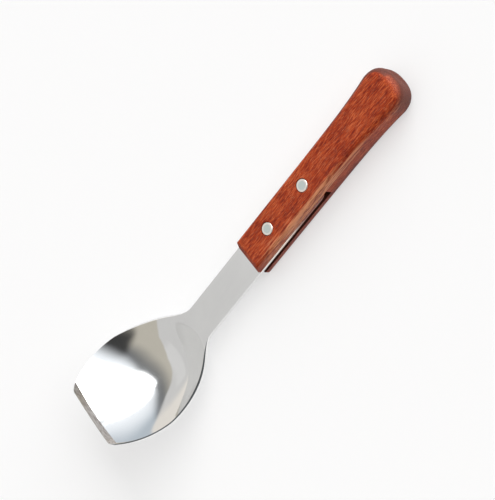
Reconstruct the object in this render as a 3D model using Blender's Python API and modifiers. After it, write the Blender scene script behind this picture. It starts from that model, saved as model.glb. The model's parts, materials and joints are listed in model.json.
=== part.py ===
# Ice cream spade: one formed sheet blade, its tang riveted in a slotted wooden handle.
# Metres, +X towards the butt, +Z up. It lies dish side up, on the bowl and the handle's flat underside.

import math

import bmesh
import bpy

# Driving sizes
OVERALL_LENGTH = 0.235
HANDLE_LENGTH = 0.1175
HANDLE_THICKNESS = 0.0149
HANDLE_FRONT_WIDTH = 0.0182
HANDLE_BUTT_WIDTH = 0.0234
SHEET_THICKNESS = 0.0018
NECK_UNDERSIDE = 0.0069
BOWL_WIDTH = 0.0590
BOWL_LENGTH = 0.0714
FRONT_EDGE_WIDTH = 0.0374

# Bowl, in stations measured back from the corners of its front edge
WIDEST_STATION = 0.0264
FRONT_POWER = 2.0
REAR_POWER = 1.5
REAR_REACH = 0.0440
NECK_FILLET = 0.007
RIM_LIFT_STATION = 0.0583
RIM_ANGLE = 40.0
RIM_BEND = 0.0311
LOWEST_STATION = 0.0442
KEEL_ANGLE = 47.7
FRONT_DEPTH = 0.004

# Ground front edge and deburred outline of the sheet
GRIND_WIDTH = 0.0034
GRIND_MIDDLE_WIDTH = 0.0024
EDGE_THICKNESS = 0.0006
FRONT_CORNER = 0.0018
SHEET_DEBURR = 0.0002

# Tang and the saw cut that holds it
TANG_LENGTH = 0.0538
TANG_CORNER = 0.004
SLOT_DEPTH = 0.0555
SLOT_GAP = 0.0025
SAW_RADIUS = 0.045

# Handle outline and edges
FRONT_SETBACK = 0.0037
FRONT_LAND = 0.0006
FLARE_START = 0.0437
FLARE_POWER = 3.2
BUTT_REACH = 0.0103
BUTT_POWER = 2.5
BUTT_EDGE_RADIUS = 0.0048
SIDE_EDGE_RADIUS = 0.0020
FRONT_ARRIS = 0.0010
RADIUS_GROWTH_START = 0.0637

# Rivets
RIVET_STATIONS = (0.0212, 0.0497)
RIVET_HEAD_DIAMETER = 0.0064
RIVET_HEAD_HEIGHT = 0.0014
RIVET_TUBE_DIAMETER = 0.0042
RIVET_TUBE_WALL = 0.0006
RIVET_CHAMFER = 0.0002
RIVET_SINK = 0.0001
SHANK_END_GAP = 0.0012

# Fits and fineness
CLEARANCE = 0.0003
CUT_MARGIN = 0.004
MERGE_DISTANCE = 0.00001
FLAT_ANGLE = 0.0001
BOWL_ROWS = 50
NECK_ROWS = 3
TANG_ROWS = 3
CORNER_ROWS = 4
SHEET_COLUMNS = 16
SIDE_STEPS = 12
BUTT_STEPS = 18
EDGE_STEPS = 6
ROUND_STEPS = 40

# Places that follow from the sizes
BUTT_X = OVERALL_LENGTH / 2
HANDLE_FRONT_X = BUTT_X - HANDLE_LENGTH
NECK_HALF_WIDTH = HANDLE_FRONT_WIDTH / 2
NECK_TOP = NECK_UNDERSIDE + SHEET_THICKNESS
SLOT_TOP = NECK_TOP + CLEARANCE
SLOT_BOTTOM = NECK_UNDERSIDE - SLOT_GAP
FRONT_KNEE = SLOT_TOP + FRONT_LAND
HEAD_TOP = HANDLE_THICKNESS - RIVET_SINK


def smooth_step(share):
    """0 to 1 with level ends."""
    share = min(max(share, 0.0), 1.0)
    return share * share * (3 - 2 * share)


def smooth_max(first, second, fillet):
    """The larger of two sizes, filleted where they are close."""
    near = max(fillet - abs(first - second), 0.0) / fillet
    return max(first, second) + near * near * fillet / 4


def slope(degrees):
    return math.tan(math.radians(degrees))


def bend(distance, degrees, radius):
    """Height of a line that starts level and turns up towards an angle."""
    return slope(degrees) * (math.hypot(max(distance, 0.0), radius) - radius)


def bend_slope(distance, degrees, radius):
    """Slope of that line at a distance from its start."""
    return slope(degrees) * distance / math.hypot(distance, radius)


def superellipse(share, power):
    """Half width, 1 in the middle and 0 at the end of the reach."""
    return (1 - min(share, 1.0) ** power) ** (1 / power)


RIM_FRONT = NECK_UNDERSIDE + bend(RIM_LIFT_STATION, RIM_ANGLE, RIM_BEND)
KEEL_CLIMB = (RIM_FRONT - FRONT_DEPTH) / slope(KEEL_ANGLE)
KEEL_BEND = (LOWEST_STATION**2 - KEEL_CLIMB**2) / (2 * KEEL_CLIMB)
RIM_END_SLOPE = bend_slope(RIM_LIFT_STATION, RIM_ANGLE, RIM_BEND)
KEEL_END_SLOPE = bend_slope(LOWEST_STATION, KEEL_ANGLE, KEEL_BEND)
CUT_SLOPE = (RIM_END_SLOPE + KEEL_END_SLOPE) / 2
FRONT_BULGE = FRONT_DEPTH * CUT_SLOPE
GRIND_STATION = GRIND_WIDTH / math.hypot(1, CUT_SLOPE)
GRIND_MIDDLE_STATION = GRIND_MIDDLE_WIDTH / math.hypot(1, CUT_SLOPE)
CORNER_X = FRONT_BULGE - BUTT_X
EDGE_SHARE = FRONT_EDGE_WIDTH / BOWL_WIDTH
FRONT_REACH = WIDEST_STATION / superellipse(EDGE_SHARE, FRONT_POWER)


def new_collection(name):
    made = bpy.data.collections.new(name)
    bpy.context.scene.collection.children.link(made)
    return made


def material(name, colour, roughness, metallic):
    made = bpy.data.materials.new(name)
    made.use_nodes = True
    shader = made.node_tree.nodes["Principled BSDF"]
    shader.inputs["Base Color"].default_value = (*colour, 1.0)
    shader.inputs["Roughness"].default_value = roughness
    shader.inputs["Metallic"].default_value = metallic
    return made


def add_piece(name, mesh, finish):
    made = bpy.data.objects.new(name, mesh)
    spade.objects.link(made)
    mesh.materials.append(finish)
    return made


def add_cutter(name, mesh):
    made = bpy.data.objects.new(name, mesh)
    cutters.objects.link(made)
    made.hide_render = True
    made.display_type = "WIRE"
    return made


def cut_with(piece, cutter):
    boolean = piece.modifiers.new("Cut " + cutter.name, "BOOLEAN")
    boolean.operation = "DIFFERENCE"
    boolean.solver = "EXACT"
    boolean.object = cutter


def level_flats(piece):
    """Keeps the flat faces looking flat beside the rounded edges."""
    weighted = piece.modifiers.new("Level flats", "WEIGHTED_NORMAL")
    weighted.keep_sharp = True


def turned_profile(name, profile):
    """A mesh of one open outline, from (radius, height) points that run from top to bottom."""
    mesh = bpy.data.meshes.new(name)
    outline = bmesh.new()
    points = [outline.verts.new((radius, 0.0, height)) for radius, height in profile]
    for upper, lower in zip(points, points[1:]):
        outline.edges.new((upper, lower))
    outline.to_mesh(mesh)
    outline.free()
    return mesh


def turn(piece):
    """Turns a profile about its own upright axis."""
    screw = piece.modifiers.new("Turn", "SCREW")
    screw.steps = ROUND_STEPS
    screw.render_steps = ROUND_STEPS
    screw.use_merge_vertices = True
    screw.merge_threshold = MERGE_DISTANCE
    screw.use_smooth_shade = True


def bowl_half_width(station):
    """Half width of the sheet, from the front corners back to the neck."""
    if station < WIDEST_STATION:
        share = superellipse((WIDEST_STATION - station) / FRONT_REACH, FRONT_POWER)
        return share * BOWL_WIDTH / 2
    share = superellipse((station - WIDEST_STATION) / REAR_REACH, REAR_POWER)
    return smooth_max(share * BOWL_WIDTH / 2, NECK_HALF_WIDTH, NECK_FILLET)


def rim_height(station):
    """Height of the sheet's underside along the rim."""
    return NECK_UNDERSIDE + bend(RIM_LIFT_STATION - station, RIM_ANGLE, RIM_BEND)


def keel_height(station):
    """Height of the underside on the centre line, 0 at the lowest station."""
    if station < LOWEST_STATION:
        return bend(LOWEST_STATION - station, KEEL_ANGLE, KEEL_BEND)
    climb = (station - LOWEST_STATION) / (BOWL_LENGTH - LOWEST_STATION)
    return NECK_UNDERSIDE * smooth_step(climb)


def bowl_point(station, side):
    """A point of the dished underside, with side 0 on the centre line and 1 on the rim."""
    crown = 1 - side * side
    lean = max(1 - station / WIDEST_STATION, 0.0) ** 2
    rim = rim_height(station)
    return (
        CORNER_X + station - FRONT_BULGE * lean * crown,
        side * bowl_half_width(station),
        rim - (rim - keel_height(station)) * crown,
    )


def corner_setback(side):
    """How far the rounded front corner lies behind the straight front edge."""
    into_corner = FRONT_CORNER - (1 - side) * FRONT_EDGE_WIDTH / 2
    if into_corner <= 0:
        return 0.0
    return FRONT_CORNER * (1 - math.sqrt(max(1 - (into_corner / FRONT_CORNER) ** 2, 0.0)))


def grind_line(side):
    """Station where the ground strip ends, nearer the edge in the middle, as a flat wheel leaves it."""
    return GRIND_MIDDLE_STATION + (GRIND_STATION - GRIND_MIDDLE_STATION) * side * side


def ground_share(station):
    """Share of the sheet's thickness that the grinding leaves at a station."""
    ground = (1 - EDGE_THICKNESS / SHEET_THICKNESS) * (1 - station / GRIND_STATION)
    return 1 - max(ground, 0.0)


def evenly(start, end, steps):
    return [start + (end - start) * step / steps for step in range(1, steps + 1)]


def blade_rows():
    """One function of side for each cross row of the sheet, from the ground edge to the tang's end."""
    rows = [lambda side: bowl_point(corner_setback(side), side)]
    rows.append(lambda side: bowl_point(grind_line(side), side))
    for station in evenly(GRIND_STATION, BOWL_LENGTH, BOWL_ROWS):
        rows.append(lambda side, station=station: bowl_point(station, side))
    straight = evenly(CORNER_X + BOWL_LENGTH, HANDLE_FRONT_X, NECK_ROWS)
    straight += evenly(HANDLE_FRONT_X, HANDLE_FRONT_X + TANG_LENGTH - TANG_CORNER, TANG_ROWS)
    for x in straight:
        rows.append(lambda side, x=x: (x, side * NECK_HALF_WIDTH, NECK_UNDERSIDE))
    for angle in evenly(0.0, math.pi / 2, CORNER_ROWS):
        half = NECK_HALF_WIDTH - TANG_CORNER * (1 - math.cos(angle))
        x = HANDLE_FRONT_X + TANG_LENGTH - TANG_CORNER * (1 - math.sin(angle))
        rows.append(lambda side, x=x, half=half: (x, side * half, NECK_UNDERSIDE))
    return rows


def make_blade():
    """Half of the sheet's underside, mirrored, thickened upwards and drilled for the rivets."""
    rows = blade_rows()
    mesh = bpy.data.meshes.new("blade")
    sheet = bmesh.new()
    bmesh.ops.create_grid(sheet, x_segments=len(rows) - 1, y_segments=SHEET_COLUMNS, size=0.5)
    weights = sheet.verts.layers.deform.verify()
    grind_line = set()
    for vertex in sheet.verts:
        row = round((vertex.co.x + 0.5) * (len(rows) - 1))
        across = vertex.co.y + 0.5
        side = (across + math.sin(across * math.pi / 2)) / 2
        vertex.co = rows[row](side)
        vertex[weights][0] = ground_share(corner_setback(side)) if row == 0 else 1.0
        if row == 1:
            grind_line.add(vertex)
    for edge in sheet.edges:
        edge.smooth = not grind_line.issuperset(edge.verts)
    for face in sheet.faces:
        face.smooth = True
    sheet.to_mesh(mesh)
    sheet.free()
    blade = add_piece("blade", mesh, material("stainless_steel", (0.62, 0.62, 0.61), 0.18, 1.0))
    blade.vertex_groups.new(name="sheet_thickness")
    mirror = blade.modifiers.new("Mirror", "MIRROR")
    mirror.use_axis = (False, True, False)
    mirror.use_clip = True
    mirror.merge_threshold = MERGE_DISTANCE
    thicken = blade.modifiers.new("Thicken", "SOLIDIFY")
    thicken.thickness = SHEET_THICKNESS
    thicken.offset = 1.0
    thicken.use_even_offset = True
    thicken.vertex_group = "sheet_thickness"
    deburr = blade.modifiers.new("Deburr", "BEVEL")
    deburr.width = SHEET_DEBURR
    deburr.segments = 1
    deburr.limit_method = "ANGLE"
    deburr.angle_limit = math.radians(60)
    return blade


def handle_half_width(length):
    """Half width of the handle before its butt is rounded, at a distance from its front."""
    end = HANDLE_LENGTH - BUTT_REACH
    flare = min(max(length - FLARE_START, 0.0) / (end - FLARE_START), 1.0) ** FLARE_POWER
    return (HANDLE_FRONT_WIDTH + (HANDLE_BUTT_WIDTH - HANDLE_FRONT_WIDTH) * flare) / 2


def handle_side():
    """One side of the handle's outline, from its front corner to the middle of its butt."""
    end = HANDLE_LENGTH - BUTT_REACH
    points = [(0.0, handle_half_width(0.0))]
    for length in evenly(FLARE_START, end, SIDE_STEPS):
        points.append((length, handle_half_width(length)))
    for angle in evenly(0.0, math.pi / 2, BUTT_STEPS):
        reach = math.sin(angle) ** (2 / BUTT_POWER)
        width = max(math.cos(angle), 0.0) ** (2 / BUTT_POWER)
        points.append((end + BUTT_REACH * reach, handle_half_width(end) * width))
    return points


def edge_radius(length):
    """Radius of the handle's long edges, larger towards the butt."""
    growth = (length - RADIUS_GROWTH_START) / (HANDLE_LENGTH - RADIUS_GROWTH_START)
    return SIDE_EDGE_RADIUS + (BUTT_EDGE_RADIUS - SIDE_EDGE_RADIUS) * smooth_step(growth)


def handle_blank():
    """The handle's outline cut from flat board, as a mesh."""
    near = handle_side()
    points = near + [(x, -y) for x, y in reversed(near[:-1])]
    curve = bpy.data.curves.new("handle_outline", "CURVE")
    curve.dimensions = "2D"
    curve.fill_mode = "BOTH"
    curve.extrude = HANDLE_THICKNESS / 2
    spline = curve.splines.new("POLY")
    spline.points.add(len(points) - 1)
    for place, (x, y) in zip(spline.points, points):
        place.co = (HANDLE_FRONT_X + x, y, 0.0, 1.0)
    spline.use_cyclic_u = True
    outline = bpy.data.objects.new("handle_outline", curve)
    spade.objects.link(outline)
    outline.location.z = HANDLE_THICKNESS / 2
    bpy.context.view_layer.update()
    graph = bpy.context.evaluated_depsgraph_get()
    mesh = bpy.data.meshes.new_from_object(outline.evaluated_get(graph))
    mesh.name = "handle"
    mesh.transform(outline.matrix_world)
    bpy.data.objects.remove(outline)
    return mesh


def slope_front(wood):
    """Leans the front back from a knee a little above the saw cut."""
    corners = [vertex for vertex in wood.verts if vertex.co.x < HANDLE_FRONT_X + MERGE_DISTANCE]
    knees = []
    for lower in [vertex for vertex in corners if vertex.co.z < MERGE_DISTANCE]:
        for edge in lower.link_edges:
            if edge.other_vert(lower).co.z > MERGE_DISTANCE:
                knees.append(bmesh.utils.edge_split(edge, lower, FRONT_KNEE / HANDLE_THICKNESS)[1])
                break
    bmesh.ops.connect_verts(wood, verts=knees)
    for vertex in corners:
        if vertex.co.z > FRONT_KNEE:
            vertex.co.x += FRONT_SETBACK


def make_handle():
    """Flat board handle with edges rounded more at the butt, its front sloped and sawn."""
    mesh = handle_blank()
    wood = bmesh.new()
    wood.from_mesh(mesh)
    bmesh.ops.remove_doubles(wood, verts=wood.verts, dist=MERGE_DISTANCE)
    flat = [edge for edge in wood.edges if edge.calc_face_angle(math.pi) < FLAT_ANGLE]
    bmesh.ops.dissolve_edges(wood, edges=flat, use_verts=False, use_face_split=False)
    bmesh.ops.recalc_face_normals(wood, faces=wood.faces)
    rounding = wood.edges.layers.float.new("bevel_weight_edge")
    for edge in wood.edges:
        first, second = (vertex.co for vertex in edge.verts)
        middle = (first + second) / 2
        level = abs(first.z - second.z) < MERGE_DISTANCE
        front = max(first.x, second.x) < HANDLE_FRONT_X + MERGE_DISTANCE
        if front:
            edge[rounding] = FRONT_ARRIS / BUTT_EDGE_RADIUS
        elif level:
            edge[rounding] = edge_radius(middle.x - HANDLE_FRONT_X) / BUTT_EDGE_RADIUS
    slope_front(wood)
    wood.to_mesh(mesh)
    wood.free()
    mesh.shade_smooth()
    handle = add_piece("handle", mesh, material("rosewood", (0.30, 0.06, 0.02), 0.42, 0.0))
    edges = handle.modifiers.new("Round edges", "BEVEL")
    edges.limit_method = "WEIGHT"
    edges.width = BUTT_EDGE_RADIUS
    edges.segments = EDGE_STEPS
    edges.use_clamp_overlap = False
    return handle


def make_slot_cutter():
    """The saw cut: a round saw's disc at its inner end, and a block out to the handle's front."""
    middle = (SLOT_TOP + SLOT_BOTTOM) / 2
    height = SLOT_TOP - SLOT_BOTTOM
    disc_mesh = bpy.data.meshes.new("saw_disc")
    disc = bmesh.new()
    bmesh.ops.create_cone(
        disc,
        cap_ends=True,
        segments=4 * ROUND_STEPS,
        radius1=SAW_RADIUS,
        radius2=SAW_RADIUS,
        depth=height,
    )
    disc.to_mesh(disc_mesh)
    disc.free()
    saw = add_cutter("saw_disc", disc_mesh)
    saw.location = (HANDLE_FRONT_X + SLOT_DEPTH - SAW_RADIUS, 0.0, middle)
    return saw


def make_hole_cutter(number, station):
    """A drill for the rivet's tube, with a sink for each head."""
    sink_radius = RIVET_HEAD_DIAMETER / 2 + CLEARANCE
    drill_radius = RIVET_TUBE_DIAMETER / 2 + CLEARANCE
    sink = RIVET_SINK + RIVET_HEAD_HEIGHT + CLEARANCE
    profile = (
        (0.0, HANDLE_THICKNESS + CUT_MARGIN),
        (sink_radius, HANDLE_THICKNESS + CUT_MARGIN),
        (sink_radius, HANDLE_THICKNESS - sink),
        (drill_radius, HANDLE_THICKNESS - sink),
        (drill_radius, sink),
        (sink_radius, sink),
        (sink_radius, -CUT_MARGIN),
        (0.0, -CUT_MARGIN),
    )
    drill = add_cutter(f"rivet_drill_{number}", turned_profile(f"rivet_drill_{number}", profile))
    drill.location.x = HANDLE_FRONT_X + station
    turn(drill)
    return drill


def make_rivet(place, station, finish):
    """A two-part rivet: a male head and shank from above, a female head and tube from below."""
    head = RIVET_HEAD_DIAMETER / 2
    tube = RIVET_TUBE_DIAMETER / 2
    bore = tube - RIVET_TUBE_WALL
    shank = bore - CLEARANCE
    tube_top = HEAD_TOP - RIVET_HEAD_HEIGHT - CLEARANCE
    bore_bottom = RIVET_SINK + RIVET_HEAD_HEIGHT
    shank_bottom = bore_bottom + SHANK_END_GAP
    male = (
        (0.0, HEAD_TOP),
        (head - RIVET_CHAMFER, HEAD_TOP),
        (head, HEAD_TOP - RIVET_CHAMFER),
        (head, HEAD_TOP - RIVET_HEAD_HEIGHT),
        (shank, HEAD_TOP - RIVET_HEAD_HEIGHT),
        (shank, shank_bottom + RIVET_CHAMFER),
        (shank - RIVET_CHAMFER, shank_bottom),
        (0.0, shank_bottom),
    )
    female = (
        (0.0, bore_bottom),
        (bore, bore_bottom),
        (bore, tube_top),
        (tube, tube_top),
        (tube, bore_bottom),
        (head, bore_bottom),
        (head, RIVET_SINK + RIVET_CHAMFER),
        (head - RIVET_CHAMFER, RIVET_SINK),
        (0.0, RIVET_SINK),
    )
    for part, profile in (("male", male), ("female", female)):
        name = f"{place}_rivet_{part}"
        rivet = add_piece(name, turned_profile(name, profile), finish)
        rivet.location.x = HANDLE_FRONT_X + station
        turn(rivet)


for old in list(bpy.data.objects):
    bpy.data.objects.remove(old)

spade = new_collection("ice_cream_spade")
cutters = new_collection("cutters")
blade = make_blade()
handle = make_handle()
cut_with(handle, make_slot_cutter())
rivet_metal = material("rivet_aluminium", (0.72, 0.74, 0.72), 0.35, 1.0)
for number, (place, station) in enumerate(zip(("front", "rear"), RIVET_STATIONS), 1):
    drill = make_hole_cutter(number, station)
    cut_with(blade, drill)
    cut_with(handle, drill)
    make_rivet(place, station, rivet_metal)
level_flats(blade)
level_flats(handle)
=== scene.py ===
import json
import math

import bpy
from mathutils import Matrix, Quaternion, Vector

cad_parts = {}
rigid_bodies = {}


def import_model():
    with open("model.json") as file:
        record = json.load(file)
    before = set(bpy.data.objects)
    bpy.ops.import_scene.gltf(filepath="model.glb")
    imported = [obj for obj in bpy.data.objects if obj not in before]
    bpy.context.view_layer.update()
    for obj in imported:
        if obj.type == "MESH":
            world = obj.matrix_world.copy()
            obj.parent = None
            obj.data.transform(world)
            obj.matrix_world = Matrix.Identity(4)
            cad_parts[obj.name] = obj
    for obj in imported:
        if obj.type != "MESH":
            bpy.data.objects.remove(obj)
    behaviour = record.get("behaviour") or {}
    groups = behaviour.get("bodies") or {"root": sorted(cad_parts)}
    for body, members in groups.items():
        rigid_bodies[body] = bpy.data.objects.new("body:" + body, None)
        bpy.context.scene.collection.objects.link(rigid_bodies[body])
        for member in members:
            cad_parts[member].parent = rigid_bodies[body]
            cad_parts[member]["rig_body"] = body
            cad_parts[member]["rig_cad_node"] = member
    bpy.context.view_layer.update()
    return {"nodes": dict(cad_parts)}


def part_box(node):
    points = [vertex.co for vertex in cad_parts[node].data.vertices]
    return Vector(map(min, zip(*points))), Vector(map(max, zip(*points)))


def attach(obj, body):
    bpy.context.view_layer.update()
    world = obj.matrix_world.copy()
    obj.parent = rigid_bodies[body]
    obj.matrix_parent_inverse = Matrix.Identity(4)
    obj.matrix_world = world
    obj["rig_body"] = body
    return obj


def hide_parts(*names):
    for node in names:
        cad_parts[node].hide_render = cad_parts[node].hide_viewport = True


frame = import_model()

# The solid model's parts, by name
nodes = frame["nodes"]


# Blade
# One sheet of stainless steel, pressed into a dish with a raised front and left flat at the neck.
# Its front edge is ground from above, and the sheet is polished to a soft shine with faint lines.
STEEL_COLOUR = (0.90, 0.90, 0.89, 1.0)
STEEL_WORN = (0.86, 0.86, 0.855, 1.0)
STEEL_ROUGHNESS = 0.06
STEEL_ROUGHNESS_SPREAD = 0.02
GROUND_DARK = (0.36, 0.32, 0.30, 1.0)
GROUND_LIGHT = (0.76, 0.74, 0.72, 1.0)
GROUND_ROUGHNESS = 0.32
TANG_BRIGHT = (1.0, 0.88, 0.78, 1.0)
TANG_STAINED = (0.30, 0.06, 0.02, 1.0)
TANG_ROUGHNESS = 0.3

# Lines in a surface: how far they are squeezed along their run, then scale, detail and roughness
POLISHED_LINES = (0.03, 2600.0, 3.0, 0.6)
GROUND_LINES = (0.06, 2600.0, 3.0, 0.7)
POLISHED_DEPTH = 0.0000004
GROUND_DEPTH = 0.000002
GROUND_CONTRAST = (0.35, 0.65)

# Wear of the polish: scale of its clouds, their share beside the lines, and contrast
WEAR_CLOUDS = 60.0
WEAR_CLOUD_SHARE = 0.6
WEAR_LINE_SHARE = 0.4
WEAR_CONTRAST = (0.3, 0.7)

# Places along the tool: where the ground strip ends, and where the stain on the tang starts
GROUND_LIMIT = -0.1145
STAIN_LIMITS = (0.026, 0.042)
STAIN_CLOUDS = 300.0
STAIN_WANDER = 0.01

SURFACE_ANGLE = math.radians(9)
SMOOTH_ANGLE = math.radians(35)
MERGE_DISTANCE = 0.000002
LEVEL_NORMAL = 0.9
UPRIGHT_NORMAL = 0.5
GROUND_SLOT = 1
LACQUERED_SLOT = 2


def set_stops(ramp, stops):
    """Gives a colour ramp its places and colours, in order."""
    while len(ramp.elements) < len(stops):
        ramp.elements.new(0.5)
    for element, (position, colour) in zip(ramp.elements, stops):
        element.position = position
        element.color = colour


class Wire:
    """A socket of a shader; arithmetic on it adds Math nodes."""

    def __init__(self, tree, socket=None):
        self.tree = tree
        self.socket = socket

    def node(self, kind, settings=None, values=None, output=0):
        """Adds a node: settings or a ramp's stops first, then values or wires into its sockets."""
        made = self.tree.nodes.new(kind)
        for name, value in (settings or {}).items():
            if name == "stops":
                set_stops(made.color_ramp, value)
            else:
                setattr(made, name, value)
        for name, value in (values or {}).items():
            if isinstance(value, Wire):
                self.tree.links.new(value.socket, made.inputs[name])
            else:
                made.inputs[name].default_value = value
        return Wire(self.tree, made.outputs[output])

    def math(self, operation, first, second):
        return self.node("ShaderNodeMath", {"operation": operation}, {0: first, 1: second})

    def __add__(self, other):
        return self.math("ADD", self, other)

    __radd__ = __add__

    def __sub__(self, other):
        return self.math("SUBTRACT", self, other)

    def __rsub__(self, other):
        return self.math("SUBTRACT", other, self)

    def __mul__(self, other):
        return self.math("MULTIPLY", self, other)

    __rmul__ = __mul__

    def __truediv__(self, other):
        return self.math("DIVIDE", self, other)

    def __rtruediv__(self, other):
        return self.math("DIVIDE", other, self)

    def __pow__(self, other):
        return self.math("POWER", self, other)

    def __rpow__(self, other):
        return self.math("POWER", other, self)

    def at_least(self, limit):
        return self.math("MAXIMUM", self, limit)

    def ramp(self, start, end):
        """0 at the start and 1 at the end, smooth between; the start may be the larger."""
        settings = {"interpolation_type": "SMOOTHSTEP"}
        values = {"Value": self, "From Min": start, "From Max": end}
        return self.node("ShaderNodeMapRange", settings, values)

    def between(self, first, second):
        """A colour from first at 0 to second at 1."""
        values = {"Factor": self, 6: first, 7: second}
        return self.node("ShaderNodeMix", {"data_type": "RGBA"}, values, output=2)

    def noise(self, scale, detail=2.0, roughness=0.5):
        values = {"Vector": self, "Scale": scale, "Detail": detail, "Roughness": roughness}
        return self.node("ShaderNodeTexNoise", None, values)

    def lines(self, squeeze, scale, detail, roughness, across=False):
        """Noise drawn out into lines along the tool, or across it."""
        stretch = (1.0, squeeze, 1.0) if across else (squeeze, 1.0, 1.0)
        squeezed = self.node("ShaderNodeMapping", None, {"Vector": self, "Scale": stretch})
        return squeezed.noise(scale, detail, roughness)

    def axis(self, name):
        return self.node("ShaderNodeSeparateXYZ", None, {0: self}, output=name)


def start_finish(name):
    """A new material, its shader node and the piece's own coordinates."""
    made = bpy.data.materials.new(name)
    made.use_nodes = True
    shader = made.node_tree.nodes["Principled BSDF"]
    place = Wire(made.node_tree).node("ShaderNodeTexCoord", output="Object")
    return made, shader, place


def feed(shader, name, value):
    """Puts a number, a colour or a wire into a socket of the shader."""
    if isinstance(value, Wire):
        value.tree.links.new(value.socket, shader.inputs[name])
    else:
        shader.inputs[name].default_value = value


def bump(height, depth):
    """A normal that is raised by height, which runs from 0 to 1, over a depth in metres."""
    values = {"Height": height, "Distance": depth, "Strength": 1.0}
    return height.node("ShaderNodeBump", None, values)


def polished_steel():
    """Soft polished sheet with faint lines along the tool."""
    made, shader, place = start_finish("polished_steel")
    lines = place.lines(*POLISHED_LINES)
    cloud = place.noise(WEAR_CLOUDS)
    clean = (cloud * WEAR_CLOUD_SHARE + lines * WEAR_LINE_SHARE).ramp(*WEAR_CONTRAST)
    roughness = STEEL_ROUGHNESS + lines * STEEL_ROUGHNESS_SPREAD + cloud * STEEL_ROUGHNESS_SPREAD
    feed(shader, "Base Color", clean.between(STEEL_WORN, STEEL_COLOUR))
    feed(shader, "Metallic", 1.0)
    feed(shader, "Roughness", roughness)
    feed(shader, "Normal", bump(lines, POLISHED_DEPTH))
    return made


def ground_steel():
    """Front edge as the grinding belt leaves it, with lines along the edge."""
    made, shader, place = start_finish("ground_steel")
    lines = place.lines(*GROUND_LINES, across=True)
    feed(shader, "Base Color", lines.ramp(*GROUND_CONTRAST).between(GROUND_DARK, GROUND_LIGHT))
    feed(shader, "Metallic", 1.0)
    feed(shader, "Roughness", GROUND_ROUGHNESS)
    feed(shader, "Normal", bump(lines, GROUND_DEPTH))
    return made


def lacquered_steel():
    """Tang's edge, bright at the front and hidden deeper in by varnish that ran into the cut."""
    made, shader, place = start_finish("lacquered_steel")
    stain = (place.axis("X") + place.noise(STAIN_CLOUDS) * STAIN_WANDER).ramp(*STAIN_LIMITS)
    feed(shader, "Base Color", stain.between(TANG_BRIGHT, TANG_STAINED))
    feed(shader, "Metallic", 1.0 - stain)
    feed(shader, "Roughness", TANG_ROUGHNESS)
    return made


def smooth_copy(node, name):
    """The node's solid with its loose faces joined and shaded smooth, in place of the node."""
    bpy.ops.object.select_all(action="DESELECT")
    nodes[node].select_set(True)
    bpy.context.view_layer.objects.active = nodes[node]
    bpy.ops.object.duplicate()
    piece = bpy.context.active_object
    bpy.ops.object.parent_clear(type="CLEAR_KEEP_TRANSFORM")
    piece.name = name
    piece.data.name = name

    # The copy is a piece of its own, so it drops the node's labels
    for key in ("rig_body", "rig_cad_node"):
        del piece[key]

    bpy.ops.object.mode_set(mode="EDIT")
    bpy.ops.mesh.select_all(action="SELECT")
    bpy.ops.mesh.remove_doubles(threshold=MERGE_DISTANCE)
    bpy.ops.mesh.tris_convert_to_quads(face_threshold=SMOOTH_ANGLE, shape_threshold=SMOOTH_ANGLE)
    bpy.ops.object.mode_set(mode="OBJECT")
    if piece.data.has_custom_normals:
        bpy.ops.mesh.customdata_custom_splitnormals_clear()
    bpy.ops.object.shade_smooth_by_angle(angle=SMOOTH_ANGLE)
    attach(piece, "root")
    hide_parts(node)
    return piece


def dress(piece, *finishes):
    """Gives a piece its finishes, of which the first covers all of it."""
    piece.data.materials.clear()
    for finish in finishes:
        piece.data.materials.append(finish)


def pick_faces(piece, wanted):
    """Selects the faces of a piece that a test wants, and goes into edit mode."""
    bpy.ops.object.select_all(action="DESELECT")
    piece.select_set(True)
    bpy.context.view_layer.objects.active = piece
    bpy.ops.object.mode_set(mode="EDIT")
    bpy.ops.mesh.select_mode(type="FACE")
    bpy.ops.mesh.select_all(action="DESELECT")
    bpy.ops.object.mode_set(mode="OBJECT")
    for face in piece.data.polygons:
        face.select = wanted(face)
    bpy.ops.object.mode_set(mode="EDIT")


def finish_picked(piece, slot):
    """Gives the selected faces one of the piece's finishes."""
    piece.active_material_index = slot
    bpy.ops.object.material_slot_assign()


def largest_face(piece, wanted):
    """Number of the largest face that a test wants."""
    faces = [face for face in piece.data.polygons if wanted(face)]
    return max(faces, key=lambda face: face.area).index


blade = smooth_copy("blade", "blade_sheet")
dress(blade, polished_steel(), ground_steel(), lacquered_steel())

# Both sides of the sheet and the ground strip are runs of nearly level faces,
# each found from its largest face
top = largest_face(blade, lambda face: face.normal.z > LEVEL_NORMAL)
underside = largest_face(blade, lambda face: face.normal.z < -LEVEL_NORMAL)
strip = largest_face(blade, lambda face: face.center.x < GROUND_LIMIT and face.normal.z > 0)
pick_faces(blade, lambda face: face.index in (top, underside, strip))
bpy.ops.mesh.faces_select_linked_flat(sharpness=SURFACE_ANGLE)

# What is left over is the sheet's own edge, which polishing rounds
bpy.ops.mesh.select_all(action="INVERT")
bpy.ops.mesh.mark_sharp(clear=True)
bpy.ops.mesh.region_to_loop()
bpy.ops.mesh.mark_sharp()
bpy.ops.object.mode_set(mode="OBJECT")

# The ground strip keeps a crisp border
pick_faces(blade, lambda face: face.index == strip)
bpy.ops.mesh.faces_select_linked_flat(sharpness=SURFACE_ANGLE)
finish_picked(blade, GROUND_SLOT)
bpy.ops.mesh.region_to_loop()
bpy.ops.mesh.mark_sharp()
bpy.ops.object.mode_set(mode="OBJECT")

# The upright faces behind the handle's front are the tang's edge
pick_faces(blade, lambda face: abs(face.normal.z) < UPRIGHT_NORMAL and face.center.x > 0)
finish_picked(blade, LACQUERED_SLOT)
bpy.ops.object.mode_set(mode="OBJECT")


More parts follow.
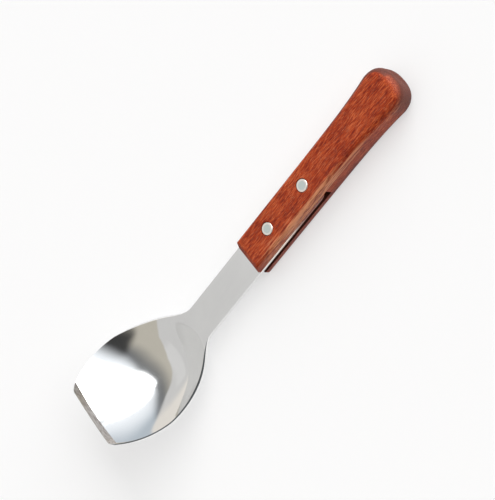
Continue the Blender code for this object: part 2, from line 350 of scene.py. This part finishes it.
# Handle
# One piece of reddish hardwood, sawn for the tang, flared to a round butt and rounded by sanding.
# It is stained and dipped in a clear satin varnish, which leaves the pores a little open.
WOOD_DARK = (0.17, 0.013, 0.004, 1.0)
WOOD_MIDDLE = (0.39, 0.037, 0.003, 1.0)
WOOD_LIGHT = (0.56, 0.115, 0.034, 1.0)
NEAR_SIDE_SHEEN = (0.78, 0.34, 0.17, 1.0)
DARK_STAIN_AND_SHADE = (0.10, 0.022, 0.012, 1.0)
END_GRAIN_AND_SHADE = (0.07, 0.030, 0.024, 1.0)
FIBRE_AND_GLINT = (0.60, 0.25, 0.14, 1.0)
LIP_SHADE = (0.075, 0.035, 0.035, 1.0)
SAWN_STAIN_AND_SHADE = (0.022, 0.005, 0.004, 1.0)

# Grain, given as the lines in the steel are
WOOD_FLECKS = (0.065, 3100.0, 2.0, 0.65)
WOOD_STREAKS = (0.05, 700.0, 2.0, 0.5)
WOOD_PORES = (0.12, 2700.0, 1.0, 0.5)
FIBRE_GLINT_LINES = (0.16, 2900.0, 3.0, 0.7)
SAW_MARKS = (0.1, 1500.0, 2.0, 0.5)
WOOD_CLOUDS = (70.0, 1.0)
GRAIN_DEPTH = 0.00005

# What makes the tone of the wood, and where its colours start and end in it
TONE_OF_FLECKS = 0.75
TONE_OF_STREAKS = 0.2
TONE_OF_CLOUDS = 0.12
TONE_CONTRAST = (0.38, 0.69)
DARK_TONES = (0.0, 0.55)
LIGHT_TONES = (0.45, 1.0)
PORE_CONTRAST = (0.56, 0.68)
PORE_STRENGTH = 0.7
FIBRE_GLINT_CONTRAST = (0.52, 0.70)
FIBRE_GLINT_STRENGTH = 0.34

# A paler band of painted sheen along the near rounded side, which follows the flare and fades
# towards the butt
SHEEN_SIDE = (0.0060, 0.0084)
SHEEN_WANDER = 0.008
SHEEN_FOOT = (0.0088, 0.0098)
SHEEN_FRONT = (0.002, 0.018)
SHEEN_MOTTLE = 0.6
SHEEN_CONTRAST = (0.42, 0.66)
SHEEN_STRENGTH = 0.85
SHEEN_FADE = 0.4
FLARE = (0.050, 0.105)
FLARE_WIDTH = 0.0045

# Painted shade along the far top edge and below the saw cut, and darker end grain round the butt
# that is partly painted shade
FAR_SHADE_TOP = (0.0145, 0.0140)
FAR_SHADE_FOOT = (0.0116, 0.0128)
FAR_SHADE_SIDE = (0.0, 0.004)
FAR_SHADE_STRENGTH = 0.8
BUTT_TOP = (0.0148, 0.0114)
BUTT_START = (0.101, 0.114)
BUTT_STRENGTH = 0.8
SAW_CUT = (0.0043, 0.0091)
LIP_FADE = 0.0005
LIP_SHADE_STRENGTH = 0.35

# Gloss of the varnish, which is duller in the pores and where it is seen at a slant
WOOD_ROUGHNESS = 0.42
PORE_ROUGHNESS = 0.2
SLANT_ROUGHNESS = 0.4
SLANT_LIMITS = (0.60, 0.80)
WOOD_SPECULAR = 0.2
VARNISH_WEIGHT = 0.03
VARNISH_ROUGHNESS = 0.25
SAWN_ROUGHNESS = 0.8
SAWN_SPECULAR = 0.1

SAWN_SLOT = 1
LEVEL_ANGLE = math.radians(0.05)


def varnished_wood():
    """Stained wood with fine pores under thin satin varnish, with painted sheen along the near
    side, painted shade on the far edge and the lower part, and darker end grain round the butt that
    is partly painted shade.
    """
    made, shader, place = start_finish("varnished_wood")
    along, aside, up = place.axis("X"), place.axis("Y"), place.axis("Z")
    flecks = place.lines(*WOOD_FLECKS)
    streaks = place.lines(*WOOD_STREAKS)
    clouds = place.noise(*WOOD_CLOUDS)
    pores = place.lines(*WOOD_PORES).ramp(*PORE_CONTRAST)
    tone = flecks * TONE_OF_FLECKS + streaks * TONE_OF_STREAKS + clouds * TONE_OF_CLOUDS
    tone = tone.ramp(*TONE_CONTRAST)
    dark_side = tone.ramp(*DARK_TONES).between(WOOD_DARK, WOOD_MIDDLE)
    colour = tone.ramp(*LIGHT_TONES).between(dark_side, WOOD_LIGHT)
    colour = (pores * PORE_STRENGTH).between(colour, WOOD_DARK)

    # Painted sheen: a paler band on the near rounded side stands in for light falling there,
    # mottled by the grain
    flare = along.ramp(*FLARE)
    side = ((streaks - 0.5) * SHEEN_WANDER - aside - flare * FLARE_WIDTH).ramp(*SHEEN_SIDE)
    mottled = (flecks * SHEEN_MOTTLE + streaks * SHEEN_MOTTLE).ramp(*SHEEN_CONTRAST)
    sheen = side * up.ramp(*SHEEN_FOOT) * along.ramp(*SHEEN_FRONT) * mottled
    colour = (sheen * (SHEEN_STRENGTH - flare * SHEEN_FADE)).between(colour, NEAR_SIDE_SHEEN)
    # Pale flecks along the grain, which are partly fibres and partly painted small glints of the
    # varnish
    fibre_glints = place.lines(*FIBRE_GLINT_LINES).ramp(*FIBRE_GLINT_CONTRAST)
    colour = (fibre_glints * FIBRE_GLINT_STRENGTH).between(colour, FIBRE_AND_GLINT)

    # Painted shade: the far rounded top edge is darkened
    far_shade = up.ramp(*FAR_SHADE_TOP) * up.ramp(*FAR_SHADE_FOOT) * aside.ramp(*FAR_SHADE_SIDE)
    colour = (far_shade * FAR_SHADE_STRENGTH).between(colour, DARK_STAIN_AND_SHADE)
    # Painted shade: the wood below the saw cut is darker towards the bottom
    lip_shade = up.ramp(SAW_CUT[0] + LIP_FADE, SAW_CUT[0] - LIP_FADE)
    colour = (lip_shade * LIP_SHADE_STRENGTH).between(colour, LIP_SHADE)
    # Darker end grain round the butt, which is partly painted shade where the rounded end would
    # catch light
    butt_grain_and_shade = up.ramp(*BUTT_TOP) * along.ramp(*BUTT_START)
    colour = (butt_grain_and_shade * BUTT_STRENGTH).between(colour, END_GRAIN_AND_SHADE)

    facing = place.node("ShaderNodeLayerWeight", None, {"Blend": 0.5}, output="Facing")
    slant = facing.ramp(*SLANT_LIMITS)
    feed(shader, "Base Color", colour)
    feed(shader, "Roughness", WOOD_ROUGHNESS + pores * PORE_ROUGHNESS + slant * SLANT_ROUGHNESS)
    feed(shader, "Specular IOR Level", WOOD_SPECULAR)
    feed(shader, "Coat Weight", VARNISH_WEIGHT)
    feed(shader, "Coat Roughness", VARNISH_ROUGHNESS)
    feed(shader, "Normal", bump(flecks - pores, GRAIN_DEPTH))
    return made


def sawn_wood():
    """Walls of the saw cut, dark with stain that ran in, and darker still with painted shade of the
    deep cut.
    """
    made, shader, place = start_finish("sawn_wood")
    marks = place.lines(*SAW_MARKS, across=True)
    # The near-black colour is partly stain and partly painted shade of the deep cut
    feed(shader, "Base Color", marks.between(SAWN_STAIN_AND_SHADE, DARK_STAIN_AND_SHADE))
    feed(shader, "Roughness", SAWN_ROUGHNESS)
    feed(shader, "Specular IOR Level", SAWN_SPECULAR)
    return made


handle = smooth_copy("handle", "handle_wood")
dress(handle, varnished_wood(), sawn_wood())


def in_saw_cut(face):
    """True for the cut's walls, which lie between its two heights and don't face sideways."""
    heights = [handle.data.vertices[number].co.z for number in face.vertices]
    inside = SAW_CUT[0] < min(heights) and max(heights) < SAW_CUT[1]
    return inside and abs(face.normal.y) < UPRIGHT_NORMAL


pick_faces(handle, in_saw_cut)
finish_picked(handle, SAWN_SLOT)
bpy.ops.mesh.select_all(action="SELECT")
bpy.ops.mesh.dissolve_limited(angle_limit=LEVEL_ANGLE, delimit={"MATERIAL"})
bpy.ops.object.mode_set(mode="OBJECT")
bpy.ops.object.shade_smooth_by_angle(angle=SMOOTH_ANGLE)
bpy.ops.object.modifier_add(type="WEIGHTED_NORMAL")
handle.modifiers[0].keep_sharp = True
bpy.ops.object.modifier_apply(modifier=handle.modifiers[0].name)


# Rivets
# Two cutlery rivets of light metal, each a male and a female half.
# The halves are pressed together through the wood and the tang.
# Their heads are sanded flush with the wood, which leaves them dull; the brighter rim of each head
# is a painted highlight.
RIVET_FACE = (0.72, 0.80, 0.77, 1.0)
RIM_HIGHLIGHT = (1.0, 0.96, 0.89, 1.0)
RIVET_ROUGHNESS = 0.34
RIM_WIDTH = 0.0014
SANDED_LINES = (0.08, 3000.0, 2.0, 0.5)
SANDED_ROUGHNESS = 0.08
SANDED_DEPTH = 0.000001
RIVET_STATIONS = ("front", "rear")
RIVET_HALVES = ("male", "female")


def rivet_metal():
    """Dull metal with fine sanding lines, with a painted highlight at the rim of each head."""
    made, shader, place = start_finish("rivet_metal")
    lines = place.lines(*SANDED_LINES)
    rim_highlights = []
    for station in RIVET_STATIONS:
        low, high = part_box(f"{station}_rivet_male")
        radius = (high[0] - low[0]) / 2
        along = place.axis("X") - (low[0] + high[0]) / 2
        aside = place.axis("Y")
        distance = (along * along + aside * aside) ** 0.5
        rim_highlights.append(distance.ramp(radius - RIM_WIDTH, radius - RIM_WIDTH / 2))
    front_highlight, rear_highlight = rim_highlights
    # Painted highlight: the rim of each head is lighter than its face
    feed(shader, "Base Color", (front_highlight * rear_highlight).between(RIVET_FACE, RIM_HIGHLIGHT))
    feed(shader, "Metallic", 1.0)
    feed(shader, "Roughness", RIVET_ROUGHNESS + lines * SANDED_ROUGHNESS)
    feed(shader, "Normal", bump(lines, SANDED_DEPTH))
    return made


rivet_finish = rivet_metal()
for station in RIVET_STATIONS:
    for half in RIVET_HALVES:
        rivet = smooth_copy(f"{station}_rivet_{half}", f"{station}_rivet_{half}_half")
        dress(rivet, rivet_finish)


# Floor
# A plain sheet of white paper under the tool, wide enough to fill every view from above.
# It glows a little to the camera and in reflections, which makes it white and keeps the shadow.
PAPER_COLOUR = (0.955, 0.955, 0.965, 1.0)
PAPER_ROUGHNESS = 0.9
WHITE = (1.0, 1.0, 1.0, 1.0)
FLOOR_SIZE = 6.0
FLOOR_GAP = 0.0002
FLOOR_GLOW = 0.50

bpy.ops.object.select_all(action="DESELECT")
bpy.ops.mesh.primitive_plane_add(size=FLOOR_SIZE, location=(0.0, 0.0, -FLOOR_GAP))
floor = bpy.context.active_object
floor.name = "floor"
floor_finish, floor_shader, _ = start_finish("white_paper")
feed(floor_shader, "Base Color", PAPER_COLOUR)
feed(floor_shader, "Roughness", PAPER_ROUGHNESS)
paper = Wire(floor_finish.node_tree)
glowing = paper.node("ShaderNodeEmission", None, {"Color": WHITE, "Strength": 1.0})
in_camera = paper.node("ShaderNodeLightPath", output="Is Camera Ray")
in_gloss = paper.node("ShaderNodeLightPath", output="Is Glossy Ray")
glow_share = (in_camera + in_gloss) * FLOOR_GLOW
lit = Wire(floor_finish.node_tree, floor_shader.outputs[0])
sheet = paper.node("ShaderNodeMixShader", None, {0: glow_share, 1: lit, 2: glowing})
paper_output = floor_finish.node_tree.nodes["Material Output"]
floor_finish.node_tree.links.new(sheet.socket, paper_output.inputs[0])
dress(floor, floor_finish)


# Camera
# It looks down on the tool from the butt's side.
# It is turned about a quarter, so that the tool runs from the lower left to the upper right.
CAMERA_AIM = Vector((0.0032, 0.0037, 0.010))
CAMERA_AZIMUTH = math.radians(44.40)
CAMERA_ELEVATION = math.radians(52.66)
CAMERA_DISTANCE = 0.6358
CAMERA_ROLL = math.radians(-89.28)
NEAREST_SEEN = 0.01

# The lens for a picture whose longer side has this many pixels, on a sensor in millimetres
FOCAL_PIXELS = 1300
FRAME_PIXELS = 500
SENSOR = 36.0

level_share = math.cos(CAMERA_ELEVATION)
away = Vector(
    (
        math.sin(CAMERA_AZIMUTH) * level_share,
        -math.cos(CAMERA_AZIMUTH) * level_share,
        math.sin(CAMERA_ELEVATION),
    )
)
bpy.ops.object.camera_add(location=CAMERA_AIM + away * CAMERA_DISTANCE)
camera = bpy.context.active_object
camera.rotation_mode = "QUATERNION"
turn = Quaternion((0.0, 0.0, 1.0), CAMERA_ROLL)
camera.rotation_quaternion = (-away).to_track_quat("-Z", "Y") @ turn
camera.data.sensor_width = SENSOR
camera.data.lens = SENSOR * FOCAL_PIXELS / FRAME_PIXELS
camera.data.clip_start = NEAREST_SEEN
bpy.context.scene.camera = camera


# Light
# A white card hangs past the bowl and a softbox past the butt, under a plain ceiling.
# The room is dim beside the softbox and behind the camera, which the bowl mirrors as a dark band.
CARD_LIGHT = (0.63, 0.625, 0.62, 1.0)
FAR_CARD_LIGHT = (0.82, 0.78, 0.725, 1.0)
FOLD_LIGHT = (0.695, 0.69, 0.685, 1.0)
CEILING_LIGHT = (0.53, 0.50, 0.435, 1.0)
ROOM_LIGHT = (0.150, 0.158, 0.168, 1.0)
SIDE_LIGHT = (0.11, 0.12, 0.13, 1.0)
DARKEST_LIGHT = (0.05, 0.05, 0.05, 1.0)
FRINGE_LIGHT = (1.02, 1.06, 1.11, 1.0)
WALL_LIGHT = (0.50, 0.56, 0.62, 1.0)
BOX_LIGHT = (4.8, 4.8, 4.8, 1.0)
FLOOR_LIGHT = (0.85, 0.85, 0.85, 1.0)
BACKDROP_LIGHT = (0.96, 0.96, 0.96, 1.0)

# The room is laid out on a level plane over the tool, and places on it are in heights of the plane.
# Edges on this ceiling plane: how far aside, towards +Y, then how far ahead, towards the butt
CARD_EDGE = (
    (-0.90, -1.6), (-0.45, -0.42), (-0.08, -0.02), (0.20, 0.19), (0.70, 0.32),
    (1.10, 0.47), (1.55, 0.71), (1.85, 0.78), (2.85, 0.89), (4.0, 1.06),
)
BOX_EDGE = (
    (-0.60, 0.80), (-0.22, 0.80), (0.15, 0.852), (0.30, 0.834), (0.67, 0.802),
    (0.76, 0.812), (0.89, 0.857), (1.10, 0.864), (1.40, 0.88), (2.85, 0.88),
)

# Softness of those edges: one width for the card, and how far aside and how wide for the softbox
CARD_BLUR = 0.03
BOX_BLUR = (
    (-0.68, 0.20), (-0.38, 0.11), (-0.08, 0.05), (0.20, 0.013), (0.90, 0.014), (1.20, 0.05),
)

# Limits on the ceiling plane, from where a part of the room starts to show to where it is full
FAR_CARD_ASIDE = (1.8, 3.1)
FOLD_START = (-0.66, -0.48)
FOLD_END = (0.4, 0.1)
FOLD_NEAR = (-0.25, 0.0)
FOLD_FAR = (1.8, 1.4)
DIM_AHEAD = (0.33, 0.88)
DIM_ASIDE = (0.1, -0.5)
DIM_SHIFT = 0.12
DARKEST_SLOPE = 0.6
DARKEST_EDGE = (0.71, 0.84)
DARKEST_AHEAD = (-1.2, 0.3)
DARKEST_ASIDE = (-1.5, -1.0)
SIDE_ASIDE = (-1.1, -1.4)

# Limits of the softbox: past its edge in widths of its blur, turned aside, and far ahead
FRINGE_PAST = (-1.0, 1.0)
FRINGE_TURN = (-1.3, -0.9)
WALL_TURN = (1.3, 2.85)
BOX_PAST = (0.9, 3.0)
BOX_NEAR_TURN = (-1.2, -0.9)
BOX_FAR_TURN = (1.38, 1.16)
BOX_END = (9.0, 7.0)

HORIZON = (-0.02, 0.02)
LOWEST_HEIGHT = 0.03
LEAST_AHEAD = 0.1


def curve(wire, points):
    """The value that straight lines between the points give."""
    first, last = points[0][0], points[-1][0]
    values = [value for place, value in points]
    low, rise = min(values), max(values) - min(values)
    stops = []
    for place, value in points:
        grey = (value - low) / rise
        stops.append(((place - first) / (last - first), (grey, grey, grey, 1.0)))
    limits = {"Value": wire, "From Min": first, "From Max": last}
    share = wire.node("ShaderNodeMapRange", None, limits)
    return wire.node("ShaderNodeValToRGB", {"stops": stops}, {0: share}) * rise + low


world = bpy.context.scene.world or bpy.data.worlds.new("studio")
bpy.context.scene.world = world
world.use_nodes = True
sky = Wire(world.node_tree).node("ShaderNodeTexCoord", output="Generated")
height = sky.axis("Z")
above = height.at_least(LOWEST_HEIGHT)
ahead = sky.axis("X") / above
aside = sky.axis("Y") / above
turned = aside / ahead.at_least(LEAST_AHEAD)

# The ceiling dims towards the softbox, and most of all behind the camera
dim = (ahead + aside.ramp(*DIM_ASIDE) * DIM_SHIFT).ramp(*DIM_AHEAD)
light = dim.between(CEILING_LIGHT, ROOM_LIGHT)
darkest = (ahead * DARKEST_SLOPE - aside).ramp(*DARKEST_EDGE)
darkest = darkest * ahead.ramp(*DARKEST_AHEAD) * aside.ramp(*DARKEST_ASIDE)
light = darkest.between(light, DARKEST_LIGHT)

# The softbox has a soft fringe, which passes into a lit wall on its far side
past = (ahead - curve(aside, BOX_EDGE)) / curve(aside, BOX_BLUR)
glow = turned.ramp(*WALL_TURN).between(FRINGE_LIGHT, WALL_LIGHT)
light = (past.ramp(*FRINGE_PAST) * turned.ramp(*FRINGE_TURN)).between(light, glow)
box = past.ramp(*BOX_PAST) * turned.ramp(*BOX_FAR_TURN) * turned.ramp(*BOX_NEAR_TURN)
light = (box * ahead.ramp(*BOX_END)).between(light, BOX_LIGHT)

# The card is a little lighter where the bowl's rear mirrors it twice
fold = ahead.ramp(*FOLD_START) * ahead.ramp(*FOLD_END) * aside.ramp(*FOLD_NEAR)
near_card = (fold * aside.ramp(*FOLD_FAR)).between(CARD_LIGHT, FOLD_LIGHT)
card = aside.ramp(*FAR_CARD_ASIDE).between(near_card, FAR_CARD_LIGHT)
light = (curve(aside, CARD_EDGE) - ahead).ramp(-CARD_BLUR, CARD_BLUR).between(light, card)
light = aside.ramp(*SIDE_ASIDE).between(light, SIDE_LIGHT)
light = height.ramp(*HORIZON).between(FLOOR_LIGHT, light)

# Past the floor the camera sees a plain white wall, which gives no light of its own
in_view = sky.node("ShaderNodeLightPath", output="Is Camera Ray")
light = in_view.between(light, BACKDROP_LIGHT)
world.node_tree.links.new(light.socket, world.node_tree.nodes["Background"].inputs["Color"])

bpy.context.scene.view_settings.view_transform = "Standard"
